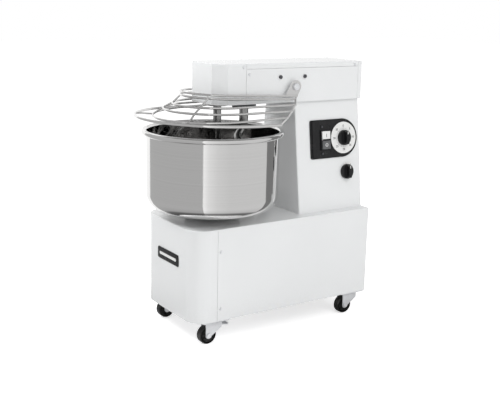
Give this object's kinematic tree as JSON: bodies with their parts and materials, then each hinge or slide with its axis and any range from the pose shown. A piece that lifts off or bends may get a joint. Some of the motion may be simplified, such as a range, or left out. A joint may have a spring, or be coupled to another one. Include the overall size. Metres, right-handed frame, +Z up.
{
  "type": "spiral dough mixer",
  "caption": "Floor-standing spiral dough mixer: turning stainless bowl, spiral hook, breaker bar, hinged wire guard, side controls and swivel casters.",
  "frame": {"origin": "on the floor under the middle of the whole machine's bounding box", "axes": "+Z up, -Y toward the bowl and the front, +X toward the side with the controls"},
  "size_m": [0.436, 0.676, 0.731],
  "materials": {
    "white_paint": "gloss enamel",
    "grey_paint": "satin enamel",
    "frame_steel": "bare steel",
    "polished_steel": "polished stainless",
    "satin_steel": "satin stainless",
    "bearing_steel": "ground",
    "zinc": "bright zinc",
    "cast_grey": "painted casting",
    "motor_aluminium": "cast",
    "black_plastic": "fine texture",
    "white_plastic": "smooth",
    "grey_plastic": "smooth",
    "wheel_rubber": "smooth"
  },
  "bodies": {
    "machine": {"base_floor": "frame_steel", "base_frame": "frame_steel", "front_panel": "white_paint", "side_panel_right": "white_paint", "side_panel_left": "white_paint", "rear_panel": "white_paint", "deck_plate": "white_paint", "badge_plate": "black_plastic", "column_frame": "frame_steel", "column_shell": "white_paint", "head_housing": "white_paint", "head_frame": "frame_steel", "head_front_cover": "white_paint", "head_lid": "white_paint", "head_rear_cover": "white_paint", "control_plate": "black_plastic", "switch_frame": "black_plastic", "dial_ring": "white_plastic", "timer_body": "white_plastic", "speed_label": "white_plastic", "selector_body": "white_plastic", "switch_body": "white_plastic", "terminal_box": "grey_plastic", "gearmotor": "motor_aluminium", "drive_bearing_housings": "cast_grey", "ball_bearings": "bearing_steel", "bowl_chain": "bearing_steel", "spiral_chain": "bearing_steel", "bowl_bearing_housing": "cast_grey", "spiral_bearing_housing": "cast_grey", "breaker_bar": "satin_steel", "guard_pivot_bolts": "zinc", "cover_screws": "zinc", "frame_bolts": "grey_paint", "cable_gland": "black_plastic", "caster_plates": "zinc"},
    "bowl": {"bowl": "polished_steel", "bowl_spindle": "cast_grey", "bowl_bolts": "zinc", "bowl_sprocket": "bearing_steel"},
    "drive": {"drive_shaft": "bearing_steel", "bowl_drive_sprocket": "bearing_steel", "spiral_drive_sprocket": "bearing_steel"},
    "spiral": {"spiral_hook": "satin_steel", "spiral_sprocket": "bearing_steel"},
    "guard": {"guard_cage": "polished_steel"},
    "timer": {"timer_knob": "black_plastic"},
    "speed": {"speed_knob": "black_plastic"},
    "start": {"start_button": "white_plastic"},
    "stop": {"stop_button": "grey_plastic"},
    "caster_front_right": {"caster_fork_front_right": "zinc"},
    "wheel_front_right": {"caster_wheel_front_right": "wheel_rubber"},
    "brake_front_right": {"brake_lever_front_right": "zinc"},
    "caster_front_left": {"caster_fork_front_left": "zinc"},
    "wheel_front_left": {"caster_wheel_front_left": "wheel_rubber"},
    "brake_front_left": {"brake_lever_front_left": "zinc"},
    "caster_rear_right": {"caster_fork_rear_right": "zinc"},
    "wheel_rear_right": {"caster_wheel_rear_right": "wheel_rubber"},
    "caster_rear_left": {"caster_fork_rear_left": "zinc"},
    "wheel_rear_left": {"caster_wheel_rear_left": "wheel_rubber"}
  },
  "joints": [
    {"name": "bowl_spin", "type": "hinge", "parent": "machine", "child": "bowl", "pos_m": [0, -0.126, 0.4], "axis": [0, 0, 1], "continuous": true},
    {"name": "drive_shaft_spin", "type": "hinge", "parent": "machine", "child": "drive", "pos_m": [0, 0.168, 0.4], "axis": [0, 0, 1], "continuous": true},
    {"name": "spiral_spin", "type": "hinge", "parent": "machine", "child": "spiral", "pos_m": [0, -0.029, 0.6], "axis": [0, 0, 1], "continuous": true},
    {"name": "guard_lift", "type": "hinge", "parent": "machine", "child": "guard", "pos_m": [0, 0.076, 0.668], "axis": [-1, 0, 0], "range_deg": [0, 75]},
    {"name": "timer_turn", "type": "hinge", "parent": "machine", "child": "timer", "pos_m": [0.08236, 0.2565, 0.516], "axis": [-0.9926, 0, -0.1217], "range_deg": [0, 315]},
    {"name": "speed_turn", "type": "hinge", "parent": "machine", "child": "speed", "pos_m": [0.09425, 0.265, 0.419], "axis": [-0.9926, 0, -0.1217], "range_deg": [0, 45]},
    {"name": "start_press", "type": "slide", "parent": "machine", "child": "start", "axis": [-0.9926, 0, -0.1217], "range_m": [0, 0.003], "stiffness_N_per_m": 400, "springref_m": -0.002},
    {"name": "stop_press", "type": "slide", "parent": "machine", "child": "stop", "axis": [-0.9926, 0, -0.1217], "range_m": [0, 0.003], "stiffness_N_per_m": 400, "springref_m": -0.002},
    {"name": "caster_swivel_front_right", "type": "hinge", "parent": "machine", "child": "caster_front_right", "pos_m": [0.115, -0.19, 0.056], "axis": [0, 0, 1], "continuous": true},
    {"name": "wheel_spin_front_right", "type": "hinge", "parent": "caster_front_right", "child": "wheel_front_right", "pos_m": [0.115, -0.21, 0.025], "axis": [1, 0, 0], "continuous": true},
    {"name": "brake_press_front_right", "type": "hinge", "parent": "caster_front_right", "child": "brake_front_right", "pos_m": [0.115, -0.175, 0.046], "axis": [-1, 0, 0], "range_deg": [0, 25]},
    {"name": "caster_swivel_front_left", "type": "hinge", "parent": "machine", "child": "caster_front_left", "pos_m": [-0.115, -0.19, 0.056], "axis": [0, 0, 1], "continuous": true},
    {"name": "wheel_spin_front_left", "type": "hinge", "parent": "caster_front_left", "child": "wheel_front_left", "pos_m": [-0.115, -0.21, 0.025], "axis": [1, 0, 0], "continuous": true},
    {"name": "brake_press_front_left", "type": "hinge", "parent": "caster_front_left", "child": "brake_front_left", "pos_m": [-0.115, -0.175, 0.046], "axis": [-1, 0, 0], "range_deg": [0, 25]},
    {"name": "caster_swivel_rear_right", "type": "hinge", "parent": "machine", "child": "caster_rear_right", "pos_m": [0.115, 0.276, 0.056], "axis": [0, 0, 1], "continuous": true},
    {"name": "wheel_spin_rear_right", "type": "hinge", "parent": "caster_rear_right", "child": "wheel_rear_right", "pos_m": [0.115, 0.256, 0.025], "axis": [1, 0, 0], "continuous": true},
    {"name": "caster_swivel_rear_left", "type": "hinge", "parent": "machine", "child": "caster_rear_left", "pos_m": [-0.115, 0.276, 0.056], "axis": [0, 0, 1], "continuous": true},
    {"name": "wheel_spin_rear_left", "type": "hinge", "parent": "caster_rear_left", "child": "wheel_rear_left", "pos_m": [-0.115, 0.256, 0.025], "axis": [1, 0, 0], "continuous": true}
  ],
  "couplings": [
    {"joint": "drive_shaft_spin", "follows": "bowl_spin", "ratio": 4.6667},
    {"joint": "spiral_spin", "follows": "bowl_spin", "ratio": 7.7778}
  ]
}
